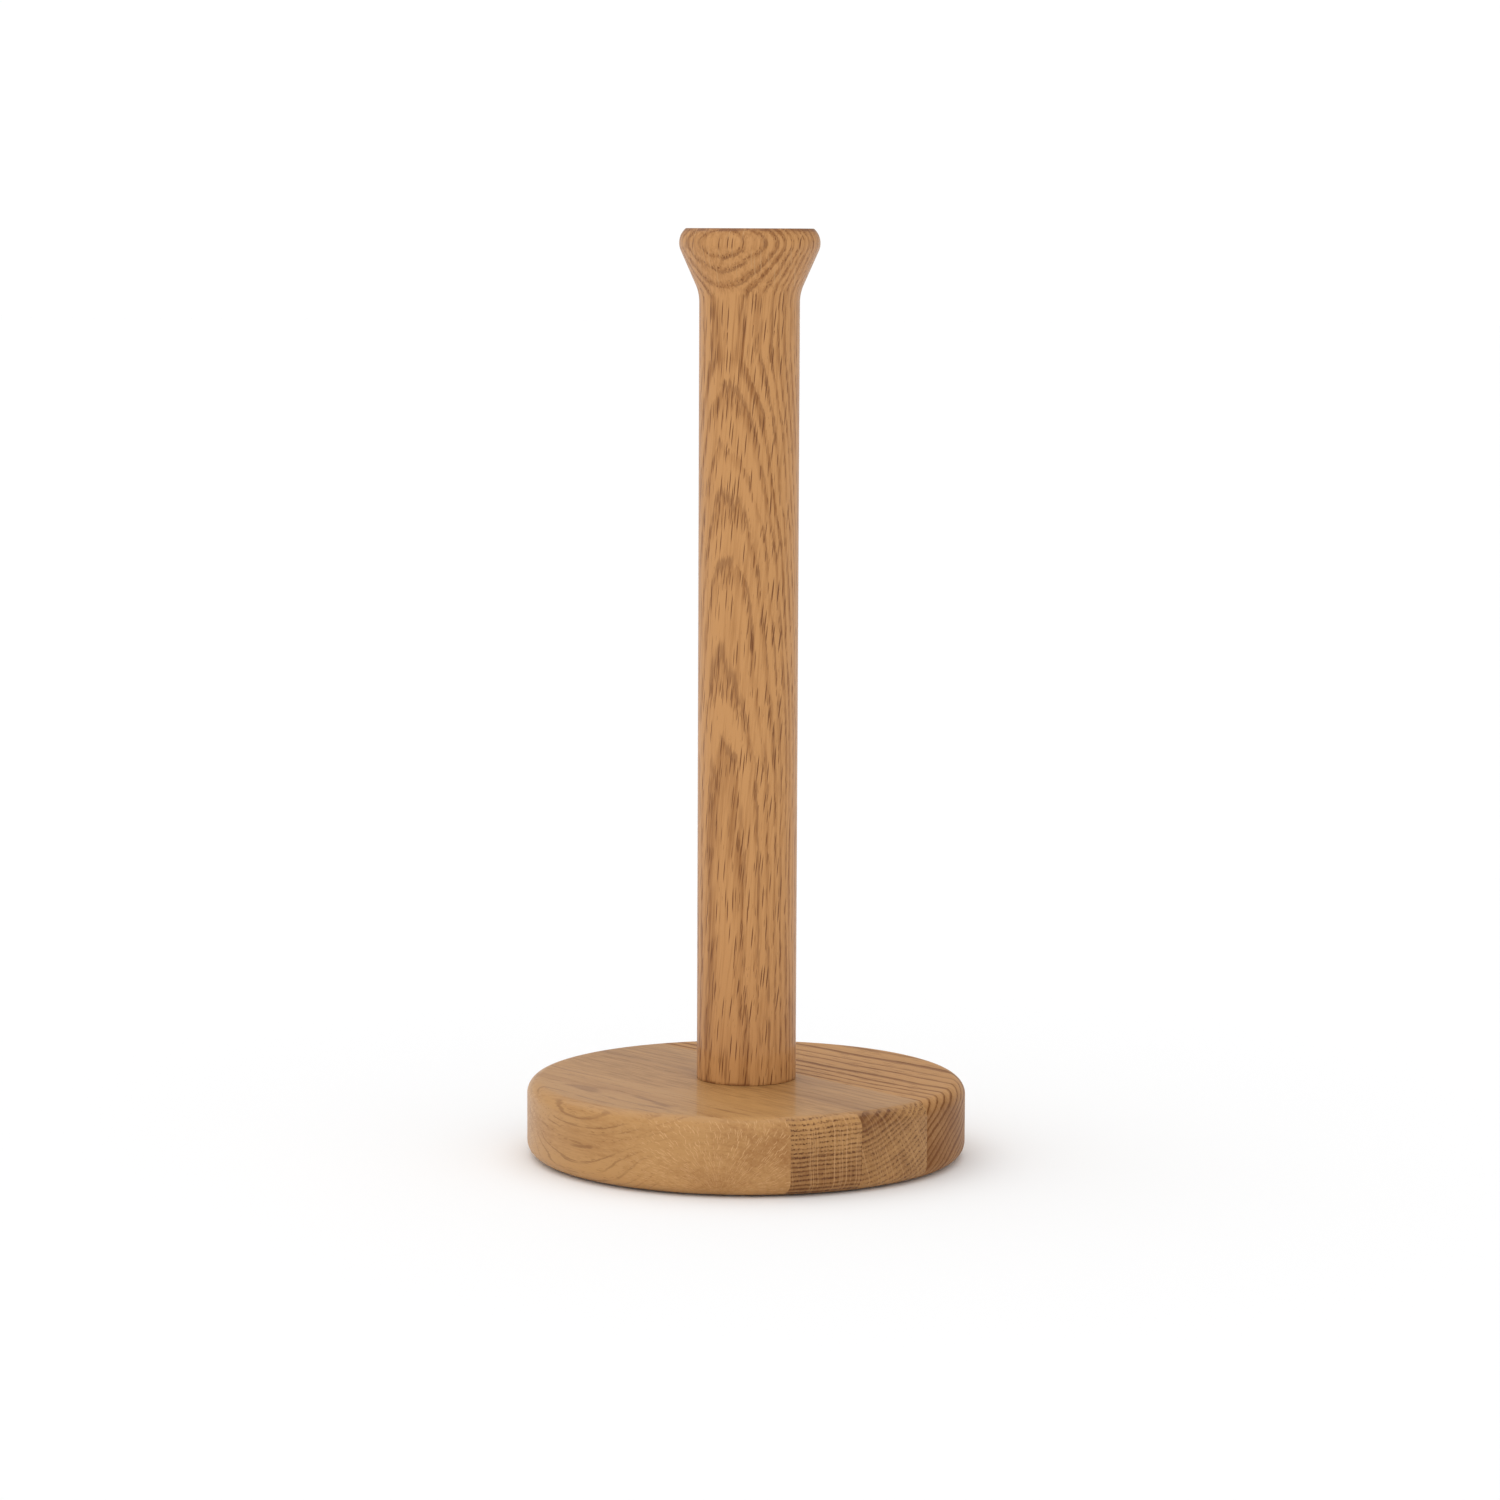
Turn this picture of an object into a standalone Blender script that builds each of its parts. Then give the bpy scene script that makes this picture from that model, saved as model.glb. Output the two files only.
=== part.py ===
"""A turned oak candlestick.

A round base is glued up from four oak staves. A column, turned in one piece with its flared head,
stands on it with a tenon, and a bolt from below draws it down. A brass cup drops into the head and
holds the candle. A felt pad under the base covers the bolt.

Metres, +Z up. The origin lies on the table, under the middle of the base, and -Y is the front.
"""

import math

import bmesh
import bpy
from mathutils import Matrix

# Base
BASE_DIAMETER = 0.150
BASE_THICKNESS = 0.026
BASE_EDGE_RADIUS = 0.005

# Base staves: the wood's fibres run this far round from the front towards the right, and each glue
# joint lies at a distance from the middle of the base, measured across the fibres
FIBRE_ANGLE = math.radians(40)
JOINT_OFFSETS = (-0.0360, -0.0122, 0.0176)

# Column and flared head
OVERALL_HEIGHT = 0.3155
COLUMN_DIAMETER = 0.0339
HEAD_DIAMETER = 0.0475
HEAD_HEIGHT = 0.0216
HEAD_RIM_RADIUS = 0.0064
HEAD_RIM_INSET = 0.00225  # from the widest circle in to the edge of the flat top
NECK_FILLET_RADIUS = 0.0142

# Tenon under the column
TENON_DIAMETER = 0.020
TENON_LENGTH = 0.012
TENON_CHAMFER = 0.001

# Candle cup, for a candle 22 mm thick
CUP_BORE_DIAMETER = 0.0226
CUP_BORE_DEPTH = 0.020
CUP_WALL = 0.001
CUP_FLANGE_DIAMETER = 0.032
CUP_FLANGE_THICKNESS = 0.0012
CUP_MOUTH_RADIUS = 0.001
CUP_EDGE_CHAMFER = 0.0003

# Bolt, washer and threaded insert
BOLT_DIAMETER = 0.006
BOLT_LENGTH = 0.025
BOLT_TIP_CHAMFER = 0.0008
BOLT_HEAD_DIAMETER = 0.0105
BOLT_HEAD_HEIGHT = 0.0033
BOLT_CROWN_HEIGHT = 0.0024
BOLT_SOCKET_WIDTH = 0.004
BOLT_SOCKET_DEPTH = 0.002
WASHER_DIAMETER = 0.018
WASHER_THICKNESS = 0.0016
INSERT_DIAMETER = 0.010
INSERT_LENGTH = 0.013
INSERT_SUNK = 0.0005

# Felt pad
PAD_MARGIN = 0.017  # from the base's edge in to the pad
PAD_THICKNESS = 0.002
PAD_PROUD = 0.0005

# Clearances
FIT_GAP = 0.0003
CUP_GAP = 0.0003
BOLT_HOLE_GAP = 0.0004
BORE_END_GAP = 0.001
BOLT_TIP_GAP = 0.002

# Fineness of the round surfaces
BASE_SEGMENTS = 96
COLUMN_SEGMENTS = 48
SMALL_SEGMENTS = 32
ARC_STEP = math.radians(12)
SMOOTH_BELOW = math.radians(32)

# Colours (linear), one for each stave from the back left to the front right
STAVE_COLORS = (
    (0.50, 0.29, 0.13),
    (0.40, 0.20, 0.07),
    (0.37, 0.18, 0.07),
    (0.32, 0.15, 0.06),
)
COLUMN_COLOR = (0.48, 0.25, 0.11)
BRASS_COLOR = (0.78, 0.58, 0.27)
ZINC_COLOR = (0.62, 0.63, 0.65)
FELT_COLOR = (0.16, 0.13, 0.10)

# Radii
base_radius = BASE_DIAMETER / 2
column_radius = COLUMN_DIAMETER / 2
head_radius = HEAD_DIAMETER / 2
head_flat_radius = head_radius - HEAD_RIM_INSET
tenon_radius = TENON_DIAMETER / 2
cup_bore_radius = CUP_BORE_DIAMETER / 2
cup_outer_radius = cup_bore_radius + CUP_WALL
cup_flange_radius = CUP_FLANGE_DIAMETER / 2
bolt_radius = BOLT_DIAMETER / 2
insert_radius = INSERT_DIAMETER / 2
washer_radius = WASHER_DIAMETER / 2
pad_radius = base_radius - PAD_MARGIN

# Levels above the table, from the bottom up
base_bottom = PAD_PROUD
base_top = base_bottom + BASE_THICKNESS
pad_recess_top = PAD_THICKNESS + FIT_GAP
bolt_bearing = pad_recess_top + FIT_GAP + BOLT_HEAD_HEIGHT
washer_bottom = bolt_bearing + FIT_GAP
counterbore_top = washer_bottom + WASHER_THICKNESS + FIT_GAP
column_foot = base_top + FIT_GAP
tenon_bottom = column_foot - TENON_LENGTH
tenon_bore_floor = tenon_bottom - FIT_GAP
insert_bottom = tenon_bottom + INSERT_SUNK
bolt_tip = bolt_bearing + BOLT_LENGTH
foot_bore_top = max(bolt_tip, insert_bottom + INSERT_LENGTH) + BOLT_TIP_GAP
head_top = OVERALL_HEIGHT
neck_level = head_top - HEAD_HEIGHT
cup_rebate_floor = head_top - CUP_FLANGE_THICKNESS - FIT_GAP
cup_bore_floor = head_top - CUP_BORE_DEPTH - CUP_WALL - BORE_END_GAP


def clear_scene():
    """Removes the objects of the startup scene."""
    for old in list(bpy.data.objects):
        bpy.data.objects.remove(old)


def make_material(name, color, roughness, metallic=0.0):
    """A plain Principled material."""
    material = bpy.data.materials.new(name)
    material.use_nodes = True
    shader = material.node_tree.nodes["Principled BSDF"]
    shader.inputs["Base Color"].default_value = (*color, 1.0)
    shader.inputs["Roughness"].default_value = roughness
    shader.inputs["Metallic"].default_value = metallic
    return material


def arc(centre, radius, start, end):
    """Points (r, z) on a circle about centre, from angle start to angle end, both included."""
    steps = max(1, math.ceil(abs(end - start) / ARC_STEP))
    angles = [start + (end - start) * i / steps for i in range(steps + 1)]
    return [(centre[0] + radius * math.cos(a), centre[1] + radius * math.sin(a)) for a in angles]


def add_object(name, builder, height=0.0):
    """Makes an object from a bmesh, faces pointing out, and sets its origin at a height on Z."""
    bmesh.ops.recalc_face_normals(builder, faces=builder.faces)
    mesh = bpy.data.meshes.new(name)
    builder.to_mesh(mesh)
    builder.free()
    mesh.shade_smooth()
    mesh.set_sharp_from_angle(angle=SMOOTH_BELOW)
    made = bpy.data.objects.new(name, mesh)
    made.location.z = height
    bpy.context.scene.collection.objects.link(made)
    return made


def turned(name, outline, segments, material, height=0.0, closed=False):
    """Spins an outline of (r, z) points about Z. An open outline starts and ends on the axis."""
    lathe = bmesh.new()
    points = [lathe.verts.new((r, 0.0, z)) for r, z in outline]
    pairs = list(zip(points, points[1:]))
    if closed:
        pairs.append((points[-1], points[0]))
    edges = [lathe.edges.new(pair) for pair in pairs]
    bmesh.ops.spin(
        lathe,
        geom=points + edges,
        axis=(0.0, 0.0, 1.0),
        cent=(0.0, 0.0, 0.0),
        angle=math.tau,
        steps=segments,
        use_merge=True,
    )
    bmesh.ops.remove_doubles(lathe, verts=lathe.verts, dist=1e-6)
    made = add_object(name, lathe, height)
    made.data.materials.append(material)
    return made


def cut(target, cutter, operation):
    """Hides a cutter and adds it to its target as an exact Boolean."""
    cutter.display_type = "WIRE"
    cutter.hide_render = True
    modifier = target.modifiers.new(cutter.name, "BOOLEAN")
    modifier.operation = operation
    modifier.solver = "EXACT"
    modifier.object = cutter


def head_outline():
    """(r, z) points down the outside of the head, from the edge of its flat top to the column.

    The rim is an arc that the flat top cuts short. A cone touches the arc, and a fillet leads it
    into the column.
    """
    rim_r = head_radius - HEAD_RIM_RADIUS
    rim_z = head_top - math.sqrt(HEAD_RIM_RADIUS**2 - (head_flat_radius - rim_r) ** 2)
    start = math.atan2(head_top - rim_z, head_flat_radius - rim_r)

    # the cone is the tangent from the neck's corner to the rim's arc
    across, up = rim_r - column_radius, rim_z - neck_level
    lean = math.atan2(across, up) + math.asin(HEAD_RIM_RADIUS / math.hypot(across, up))
    fillet_run = NECK_FILLET_RADIUS * math.tan(lean / 2)
    fillet_centre = (column_radius + NECK_FILLET_RADIUS, neck_level - fillet_run)

    rim = arc((rim_r, rim_z), HEAD_RIM_RADIUS, start, -lean)
    fillet = arc(fillet_centre, NECK_FILLET_RADIUS, math.pi - lean, math.pi)
    return rim + fillet


def make_base_staves():
    """One turned disc with its bores, cut into staves by a slab for each."""
    edge = BASE_EDGE_RADIUS
    outline = arc((base_radius - edge, base_top - edge), edge, math.pi / 2, 0.0)
    outline += arc((base_radius - edge, base_bottom + edge), edge, 0.0, -math.pi / 2)
    outline += [
        (pad_radius + FIT_GAP, base_bottom),
        (pad_radius + FIT_GAP, pad_recess_top),
        (washer_radius + BOLT_HOLE_GAP, pad_recess_top),
        (washer_radius + BOLT_HOLE_GAP, counterbore_top),
        (bolt_radius + BOLT_HOLE_GAP, counterbore_top),
        (bolt_radius + BOLT_HOLE_GAP, tenon_bore_floor),
        (tenon_radius + FIT_GAP, tenon_bore_floor),
        (tenon_radius + FIT_GAP, base_top),
    ]
    past_edge = base_radius * 1.2
    sides = [-past_edge, *JOINT_OFFSETS, past_edge]
    for number, (low, high) in enumerate(zip(sides, sides[1:]), start=1):
        oak = make_material(f"oak_stave_{number}", STAVE_COLORS[number - 1], 0.45)
        stave = turned(f"base_stave_{number}", outline, BASE_SEGMENTS, oak, closed=True)
        block = bmesh.new()
        bmesh.ops.create_cube(block, size=1.0)
        slab_size = (high - low - FIT_GAP, 2 * past_edge, 2 * past_edge)
        bmesh.ops.scale(block, vec=slab_size, verts=block.verts)
        slab = add_object(f"stave_slab_{number}", block)
        turn = Matrix.Rotation(FIBRE_ANGLE, 4, "Z")
        slab.matrix_world = turn @ Matrix.Translation(((low + high) / 2, 0.0, 0.0))
        cut(stave, slab, "INTERSECT")


def make_column():
    """Column and head in one piece, bored for the cup above and for the insert below."""
    oak = make_material("oak_column", COLUMN_COLOR, 0.45)
    outline = [
        (0.0, cup_bore_floor),
        (cup_outer_radius + CUP_GAP, cup_bore_floor),
        (cup_outer_radius + CUP_GAP, cup_rebate_floor),
        (cup_flange_radius + CUP_GAP, cup_rebate_floor),
        (cup_flange_radius + CUP_GAP, head_top),
        *head_outline(),
        (column_radius, column_foot),
        (tenon_radius, column_foot),
        (tenon_radius, tenon_bottom + TENON_CHAMFER),
        (tenon_radius - TENON_CHAMFER, tenon_bottom),
        (insert_radius + FIT_GAP, tenon_bottom),
        (insert_radius + FIT_GAP, foot_bore_top),
        (0.0, foot_bore_top),
    ]
    turned("column", outline, COLUMN_SEGMENTS, oak)


def make_candle_cup():
    """A turned cup, its origin on its axis and level with the head's top, where its flange lies."""
    brass = make_material("brass_cup", BRASS_COLOR, 0.28, 1.0)
    mouth, chamfer = CUP_MOUTH_RADIUS, CUP_EDGE_CHAMFER
    bottom = -CUP_BORE_DEPTH - CUP_WALL
    outline = [(0.0, -CUP_BORE_DEPTH), (cup_bore_radius, -CUP_BORE_DEPTH)]
    outline += arc((cup_bore_radius + mouth, -mouth), mouth, math.pi, math.pi / 2)
    outline += [
        (cup_flange_radius - chamfer, 0.0),
        (cup_flange_radius, -chamfer),
        (cup_flange_radius, -CUP_FLANGE_THICKNESS),
        (cup_outer_radius, -CUP_FLANGE_THICKNESS),
        (cup_outer_radius, bottom + chamfer),
        (cup_outer_radius - chamfer, bottom),
        (0.0, bottom),
    ]
    turned("candle_cup", outline, COLUMN_SEGMENTS, brass, height=head_top)


def make_bolt():
    """A button-head bolt with a hexagon socket, its origin under the head, where it bears."""
    zinc = make_material("zinc_bolt", ZINC_COLOR, 0.35, 1.0)
    rim = BOLT_HEAD_DIAMETER / 2
    flat = BOLT_SOCKET_WIDTH * 0.72
    crown = [(flat, -BOLT_HEAD_HEIGHT)]
    for step in range(1, 6):
        a = math.radians(90 * step / 5)
        across = flat + (rim - flat) * math.sin(a)
        crown.append((across, -BOLT_HEAD_HEIGHT + BOLT_CROWN_HEIGHT * (1 - math.cos(a))))
    outline = [
        (0.0, -BOLT_HEAD_HEIGHT),
        *crown,
        (rim, 0.0),
        (bolt_radius, 0.0),
        (bolt_radius, BOLT_LENGTH - BOLT_TIP_CHAMFER),
        (bolt_radius - BOLT_TIP_CHAMFER, BOLT_LENGTH),
        (0.0, BOLT_LENGTH),
    ]
    bolt = turned("clamp_bolt", outline, SMALL_SEGMENTS, zinc, height=bolt_bearing)

    hexagon = bmesh.new()
    bmesh.ops.create_cone(
        hexagon,
        cap_ends=True,
        segments=6,
        radius1=BOLT_SOCKET_WIDTH / math.sqrt(3),
        radius2=BOLT_SOCKET_WIDTH / math.sqrt(3),
        depth=2 * BOLT_SOCKET_DEPTH,
    )
    socket = add_object("bolt_socket", hexagon, bolt_bearing - BOLT_HEAD_HEIGHT)
    cut(bolt, socket, "DIFFERENCE")


def make_ring(name, inner, outer, length, material, height):
    """A ring with a square section, its origin on its axis at its lower end."""
    outline = [(outer, length), (outer, 0.0), (inner, 0.0), (inner, length)]
    turned(name, outline, SMALL_SEGMENTS, material, height, closed=True)


def make_felt_pad():
    """The disc of felt that the candlestick stands on."""
    felt = make_material("felt", FELT_COLOR, 0.95)
    outline = [(0.0, PAD_THICKNESS), (pad_radius, PAD_THICKNESS), (pad_radius, 0.0), (0.0, 0.0)]
    turned("felt_pad", outline, BASE_SEGMENTS, felt)


def main():
    clear_scene()
    make_base_staves()
    make_column()
    make_candle_cup()
    make_bolt()

    zinc = make_material("zinc_washer", ZINC_COLOR, 0.4, 1.0)
    inner = bolt_radius + BOLT_HOLE_GAP
    make_ring("bolt_washer", inner, washer_radius, WASHER_THICKNESS, zinc, washer_bottom)

    brass = make_material("brass_insert", BRASS_COLOR, 0.35, 1.0)
    inner = bolt_radius + FIT_GAP
    make_ring("threaded_insert", inner, insert_radius, INSERT_LENGTH, brass, insert_bottom)

    make_felt_pad()


main()
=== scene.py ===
import math

import bpy
import numpy as np
from mathutils import Matrix, Vector


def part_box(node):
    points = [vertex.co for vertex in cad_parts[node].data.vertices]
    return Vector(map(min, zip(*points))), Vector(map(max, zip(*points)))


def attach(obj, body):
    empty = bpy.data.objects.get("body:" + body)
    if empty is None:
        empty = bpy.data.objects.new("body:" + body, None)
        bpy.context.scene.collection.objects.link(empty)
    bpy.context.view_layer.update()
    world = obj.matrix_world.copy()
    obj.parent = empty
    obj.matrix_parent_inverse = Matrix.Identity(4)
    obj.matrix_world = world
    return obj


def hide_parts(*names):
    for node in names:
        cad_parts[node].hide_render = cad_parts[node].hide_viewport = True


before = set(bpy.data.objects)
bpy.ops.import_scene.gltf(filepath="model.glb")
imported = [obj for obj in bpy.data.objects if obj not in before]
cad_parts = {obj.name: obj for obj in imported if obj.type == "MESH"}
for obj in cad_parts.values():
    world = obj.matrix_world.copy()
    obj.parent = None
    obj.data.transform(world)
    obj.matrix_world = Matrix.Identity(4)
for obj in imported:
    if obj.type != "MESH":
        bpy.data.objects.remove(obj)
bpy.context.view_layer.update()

print("frame loaded:", len(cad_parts), "nodes")


# Points evenly spaced along a broken line of (r, z) corners.
def evenPath(corners, step):
    corners = np.asarray(corners, float)
    lengths = np.linalg.norm(np.diff(corners, axis=0), axis=1)
    along = np.concatenate([[0], np.cumsum(lengths)])
    at = np.linspace(0, along[-1], int(along[-1] / step) + 2)
    return np.stack([np.interp(at, along, corners[:, i]) for i in (0, 1)], 1)


# Quarter turns and other arcs: (r, z) = centre + radius * (cos a, sin a), a from first to last.
def arcPath(centre, radius, first, last, count=40):
    a = np.linspace(first, last, count)
    return np.stack([centre[0] + radius * np.cos(a), centre[1] + radius * np.sin(a)], 1)


# A broken line with its corners eased: a running mean over `ease` metres, then points picked so
# that each step has the same share of length and turning. Returns the points and how sharply the
# line turns at each, 0 on flats and 1 where its radius is `tight` or less.
def easedPath(
    corners, ease=0.0004, longStep=0.004, turnStep=math.radians(7), fine=0.00005, tight=0.003
):
    path = evenPath(corners, fine)
    half = max(1, int(ease / fine / 2))
    padded = np.concatenate([np.repeat(path[:1], half, 0), path, np.repeat(path[-1:], half, 0)])
    kernel = np.ones(2 * half + 1) / (2 * half + 1)
    soft = np.stack([np.convolve(padded[:, i], kernel, "valid") for i in (0, 1)], 1)
    soft[0], soft[-1] = path[0], path[-1]
    step = np.diff(soft, axis=0)
    length = np.linalg.norm(step, axis=1) + 1e-12
    heading = np.unwrap(np.arctan2(step[:, 1], step[:, 0]))
    turn = np.concatenate([[0], np.abs(np.diff(heading))])
    share = np.concatenate([[0], np.cumsum(length / longStep + turn / turnStep)])
    index = np.arange(len(soft))
    at = np.interp(np.linspace(0, share[-1], int(share[-1]) + 2), share, index)
    points = np.stack([np.interp(at, index, soft[:, i]) for i in (0, 1)], 1)
    bend = np.convolve(turn / length, np.ones(9) / 9, "same") * tight
    return points, np.interp(at, index[:-1], np.clip(bend, 0, 1))


# Faces between neighbouring loops of a (rows, columns) grid whose columns close on themselves.
def loopFaces(rows, columns):
    i, j = np.meshgrid(np.arange(rows - 1), np.arange(columns), indexing="ij")
    k = (j + 1) % columns
    low, high = i * columns, (i + 1) * columns
    return np.stack([low + j, low + k, high + k, high + j], -1).reshape(-1, 4)


# A closed surface from loops of points, shape (rows, columns, 3). A loop shrunk to one point is a
# pole. Without poles the last loop joins the first.
def loopSurface(name, loops, edge):
    rows, columns = loops.shape[:2]
    size = np.ptp(loops, axis=1).max(1)
    first, last = int(size[0] < 1e-9), rows - int(size[-1] < 1e-9)
    body = loops[first:last]
    points, edges = [body.reshape(-1, 3)], [np.repeat(edge[first:last], columns)]
    quads, triangles = loopFaces(len(body), columns), np.zeros((0, 3), int)
    here = np.arange(columns)
    there = (here + 1) % columns
    low, count = (len(body) - 1) * columns, len(body) * columns
    if first == 1:
        points.append(loops[0, :1])
        edges.append(edge[:1])
        triangles = np.stack([count + 0 * here, there, here], 1)
        count += 1
    if last == rows - 1:
        points.append(loops[-1, :1])
        edges.append(edge[-1:])
        fan = np.stack([count + 0 * here, low + here, low + there], 1)
        triangles = np.concatenate([triangles, fan])
    if first == 0 and last == rows:
        quads = np.concatenate([quads, np.stack([low + here, low + there, there, here], 1)])
    return finishMesh(name, np.concatenate(points), quads, triangles, np.concatenate(edges))


# Mesh and object from points and faces. Faces turn outwards by the sign of the enclosed volume,
# which is the sum of a . (b x c) / 6 over all triangles a, b, c.
def finishMesh(name, points, quads, triangles, edge, sharp=math.radians(35)):
    halves = np.concatenate([quads[:, [0, 1, 2]], quads[:, [0, 2, 3]], triangles])
    a, b, c = (points[halves[:, i]] for i in range(3))
    if np.einsum("ij,ij->i", a, np.cross(b, c)).sum() / 6 < 0:
        quads, triangles = quads[:, ::-1], triangles[:, ::-1]
    mesh = bpy.data.meshes.new(name)
    mesh.from_pydata(points.tolist(), [], quads.tolist() + triangles.tolist())
    worn = mesh.attributes.new("edge", "FLOAT", "POINT")
    worn.data.foreach_set("value", edge.astype(np.float32))
    mesh.shade_smooth()
    mesh.set_sharp_from_angle(angle=sharp)
    made = bpy.data.objects.new(name, mesh)
    bpy.context.scene.collection.objects.link(made)
    return made


# A profile of (r, z) points turned about the Z axis.
def turnedSurface(name, profile, edge, around):
    a = np.linspace(0, 2 * np.pi, around, endpoint=False)
    r, z = profile[:, :1], profile[:, 1:]
    loops = np.stack([r * np.cos(a), r * np.sin(a), z + 0 * a], -1)
    return loopSurface(name, loops, edge)


# Wires a node's output into a socket, or sets the socket's own value.
def feed(tree, socket, value):
    if isinstance(value, bpy.types.NodeSocket):
        tree.links.new(value, socket)
    else:
        socket.default_value = value


def addNode(tree, kind, links=None, **settings):
    node = tree.nodes.new(kind)
    for key, value in settings.items():
        setattr(node, key, value)
    for key, value in (links or {}).items():
        feed(tree, node.inputs[key], value)
    return node


def calc(tree, operation, *values, clamp=False):
    links = dict(enumerate(values))
    return addNode(tree, "ShaderNodeMath", links, operation=operation, use_clamp=clamp).outputs[0]


# Short forms of the commonest sums in one node tree.
def sumsOf(tree):
    plus = lambda a, b: calc(tree, "ADD", a, b)
    less = lambda a, b: calc(tree, "SUBTRACT", a, b)
    times = lambda a, b: calc(tree, "MULTIPLY", a, b)
    return plus, less, times


def calcVector(tree, operation, *values):
    links = dict(enumerate(values))
    node = addNode(tree, "ShaderNodeVectorMath", links, operation=operation)
    return node.outputs["Value" if operation in ("LENGTH", "DOT_PRODUCT") else "Vector"]


def joinXyz(tree, x, y, z=0.0):
    return addNode(tree, "ShaderNodeCombineXYZ", {0: x, 1: y, 2: z}).outputs[0]


def splitXyz(tree, vector):
    return addNode(tree, "ShaderNodeSeparateXYZ", {0: vector}).outputs


# Value from low to high becomes 0 to 1 with soft ends.
def softStep(tree, value, low, high):
    links = {"Value": value, "From Min": low, "From Max": high}
    node = addNode(tree, "ShaderNodeMapRange", links, interpolation_type="SMOOTHSTEP")
    return node.outputs["Result"]


def noise(tree, vector, detail=2.0, rough=0.5, scale=1.0, output="Fac"):
    links = {"Vector": vector, "Scale": scale, "Detail": detail, "Roughness": rough}
    return addNode(tree, "ShaderNodeTexNoise", links).outputs[output]


# Noise pushed to -1..1, times an amount.
def signedNoise(tree, vector, amount, detail=2.0):
    middle = calc(tree, "SUBTRACT", noise(tree, vector, detail), 0.5)
    return calc(tree, "MULTIPLY", middle, calc(tree, "MULTIPLY", amount, 2.0))


def mixColour(tree, factor, first, second):
    links = {0: factor, 6: first, 7: second}
    return addNode(tree, "ShaderNodeMix", links, data_type="RGBA").outputs[2]


# A shader group from a dictionary of inputs: a number gives a Float socket, a tuple a Color
# socket, and a word names its kind. An output is a Float, unless its name is Color.
def newGroup(name, inputs, outputs):
    group = bpy.data.node_groups.new(name, "ShaderNodeTree")
    for label, value in inputs.items():
        kind = "Color" if isinstance(value, tuple) else "Float"
        kind = value if isinstance(value, str) else kind
        socket = group.interface.new_socket(
            label, in_out="INPUT", socket_type="NodeSocket" + kind
        )
        if not isinstance(value, str):
            socket.default_value = value
    for label in outputs:
        kind = "Color" if label == "Color" else "Float"
        group.interface.new_socket(label, in_out="OUTPUT", socket_type="NodeSocket" + kind)
    given, result = group.nodes.new("NodeGroupInput"), group.nodes.new("NodeGroupOutput")
    return group, given.outputs, result.inputs


def useGroup(tree, group, links):
    node = tree.nodes.new("ShaderNodeGroup")
    node.node_tree = group
    for key, value in links.items():
        feed(tree, node.inputs[key], value)
    return node.outputs


def newMaterial(name):
    material = bpy.data.materials.new(name)
    material.use_nodes = True
    tree = material.node_tree
    return material, tree, tree.nodes["Principled BSDF"]


def objectPlace(tree):
    return addNode(tree, "ShaderNodeTexCoord").outputs["Object"]


# How a piece of oak grew; a board's own values go over these. Metres.
oakGrowth = {
    "Ring Width": 0.0021,
    "Ring Shift": 0.0,  # moves the rings, in rings
    "Uneven": 0.8,  # how much wide and narrow rings differ
    "Bow": 0.0,  # draws the rings in along the trunk, from Bow Start for Bow Span
    "Bow Start": 0.0,
    "Bow Span": 1.0,
    "Wander": 0.0010,
    "Feather": 0.0002,  # how far single fibres carry a ring's edge
    "Early Part": 0.6,  # share of a ring that is early wood
    "Twist": 0.0,  # fibres wind round the trunk, radians for each metre
    "Pore Size": 0.0002,
    "Reach": 0.06,  # how far out the board lies from the pith
    "Ray Gap": 0.0020,
    "Ray Run": 0.040,
    "Ray Rise": 0.014,
    "Ray Width": 0.00020,
    "Ray Curl": 0.0,
    "Heart Edge": 0.0,  # inside this radius the wood is heartwood
    "Heart Soft": 0.01,
    "Seed": 0.0,
}

# How that growth shows once the board is cut and lacquered.
oakTones = {
    "Light Wood": (0.535, 0.265, 0.093, 1),
    "Dark Wood": (0.285, 0.112, 0.026, 1),
    "Pore Color": (0.150, 0.046, 0.008, 1),
    "Ray Color": (0.560, 0.310, 0.130, 1),
    "Wear Color": (0.535, 0.265, 0.093, 1),
    "Band": 0.60,  # how dark the early wood is
    "End Band": 1.0,  # the same on end grain, as a share
    "End Pores": 1.0,
    "End Dark": 0.30,
    "Heart Dark": 0.0,
    "Cloudy": 0.8,
    "Streaky": 0.7,
    "Pore Strength": 0.8,
    "Slit Strength": 0.85,  # rays seen from the bark
    "Ray Strength": 0.8,  # rays seen on end grain
    "Line Strength": 0.0,  # thin line between rings
}
oakWear = {"Wear From": 0.15, "Wear Amount": 0.15}  # how sharp an edge wears, and how much
lacquer = {
    "rough": 0.11,
    "plainSpecular": 0.05,
    "coatSpecular": 0.7,  # added for each whole coat
    "bump": 0.6,
    "bumpDepth": 0.00012,
    "wearGrain": 220.0,
}

# how often each part of the figure comes again in a metre, across the fibres and along them
figureScale = {
    "sway": (45, 45, 22),
    "slow": (38, 38, 6),
    "quick": (210, 210, 14),
    "feather": (2100, 2100, 95),
    "line": (160, 160, 60),
    "pore": (1900, 1900, 85),
    "curl": (420, 420, 420),
    "cloud": (90, 90, 14),
    "fine": (1700, 1700, 40),
    "broad": (850, 850, 9),
}
figureParts = (
    "Ring", "Early", "Line", "Ring Tone", "Pores", "Rays",
    "Cloud", "Fibre", "Heart", "End", "Quarter",
)


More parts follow.
